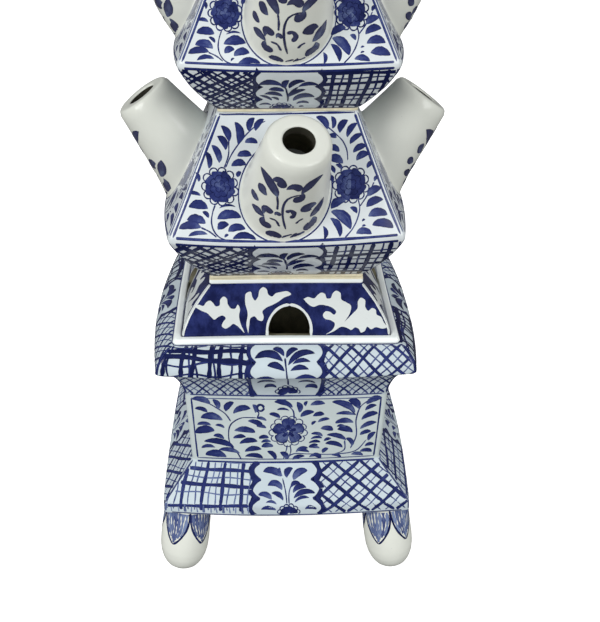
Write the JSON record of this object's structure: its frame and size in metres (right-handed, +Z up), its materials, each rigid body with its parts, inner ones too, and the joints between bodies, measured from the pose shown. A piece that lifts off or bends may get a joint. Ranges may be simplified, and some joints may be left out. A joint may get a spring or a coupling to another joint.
{
  "type": "tulipiere",
  "caption": "Square stacked flower vase of glazed earthenware on a footed base, with lift-off tiers that carry upward spouts for single stems and a finial on top.",
  "frame": {"origin": "on the ground under the middle of the base", "axes": "+Z up through the stack, -Y out of the front, +X to the right seen from the front"},
  "size_m": [0.2418, 0.241, 0.6835],
  "materials": {
    "painted_glaze": "gloss",
    "cobalt_glaze": "gloss",
    "ivory_glaze": "gloss",
    "bare_clay": "matte"
  },
  "bodies": {
    "base": {"foot_front_left": "ivory_glaze", "foot_front_right": "ivory_glaze", "foot_rear_left": "ivory_glaze", "foot_rear_right": "ivory_glaze", "bottom_slab": "bare_clay", "plinth_skirt": "painted_glaze", "pedestal": "painted_glaze", "tray": "painted_glaze", "cover": "cobalt_glaze"},
    "tier_1": {"tier_1_foot_strip": "bare_clay", "tier_1_floor": "painted_glaze", "tier_1_bowl_front": "painted_glaze", "tier_1_bowl_right": "painted_glaze", "tier_1_bowl_rear": "painted_glaze", "tier_1_bowl_left": "painted_glaze", "tier_1_roof_front": "painted_glaze", "tier_1_roof_right": "painted_glaze", "tier_1_roof_rear": "painted_glaze", "tier_1_roof_left": "painted_glaze", "tier_1_spout_front": "ivory_glaze", "tier_1_spout_right": "ivory_glaze", "tier_1_spout_rear": "ivory_glaze", "tier_1_spout_left": "ivory_glaze"},
    "tier_2": {"tier_2_foot_strip": "bare_clay", "tier_2_floor": "painted_glaze", "tier_2_bowl_front": "painted_glaze", "tier_2_bowl_right": "painted_glaze", "tier_2_bowl_rear": "painted_glaze", "tier_2_bowl_left": "painted_glaze", "tier_2_roof_front": "painted_glaze", "tier_2_roof_right": "painted_glaze", "tier_2_roof_rear": "painted_glaze", "tier_2_roof_left": "painted_glaze", "tier_2_spout_front": "ivory_glaze", "tier_2_spout_right": "ivory_glaze", "tier_2_spout_rear": "ivory_glaze", "tier_2_spout_left": "ivory_glaze"},
    "tier_3": {"tier_3_foot_strip": "bare_clay", "tier_3_floor": "painted_glaze", "tier_3_bowl_front": "painted_glaze", "tier_3_bowl_right": "painted_glaze", "tier_3_bowl_rear": "painted_glaze", "tier_3_bowl_left": "painted_glaze", "tier_3_roof_front": "painted_glaze", "tier_3_roof_right": "painted_glaze", "tier_3_roof_rear": "painted_glaze", "tier_3_roof_left": "painted_glaze", "tier_3_spout_front": "ivory_glaze", "tier_3_spout_right": "ivory_glaze", "tier_3_spout_rear": "ivory_glaze", "tier_3_spout_left": "ivory_glaze"},
    "finial": {"finial_foot_strip": "bare_clay", "finial_cap": "painted_glaze", "finial_knob": "ivory_glaze"}
  },
  "joints": [
    {"name": "tier_1_lift", "type": "slide", "parent": "base", "child": "tier_1", "axis": [0, 0, 1], "range_m": [0, 0.09]},
    {"name": "tier_2_lift", "type": "slide", "parent": "tier_1", "child": "tier_2", "axis": [0, 0, 1], "range_m": [0, 0.09]},
    {"name": "tier_3_lift", "type": "slide", "parent": "tier_2", "child": "tier_3", "axis": [0, 0, 1], "range_m": [0, 0.09]},
    {"name": "finial_lift", "type": "slide", "parent": "tier_3", "child": "finial", "axis": [0, 0, 1], "range_m": [0, 0.09]}
  ]
}
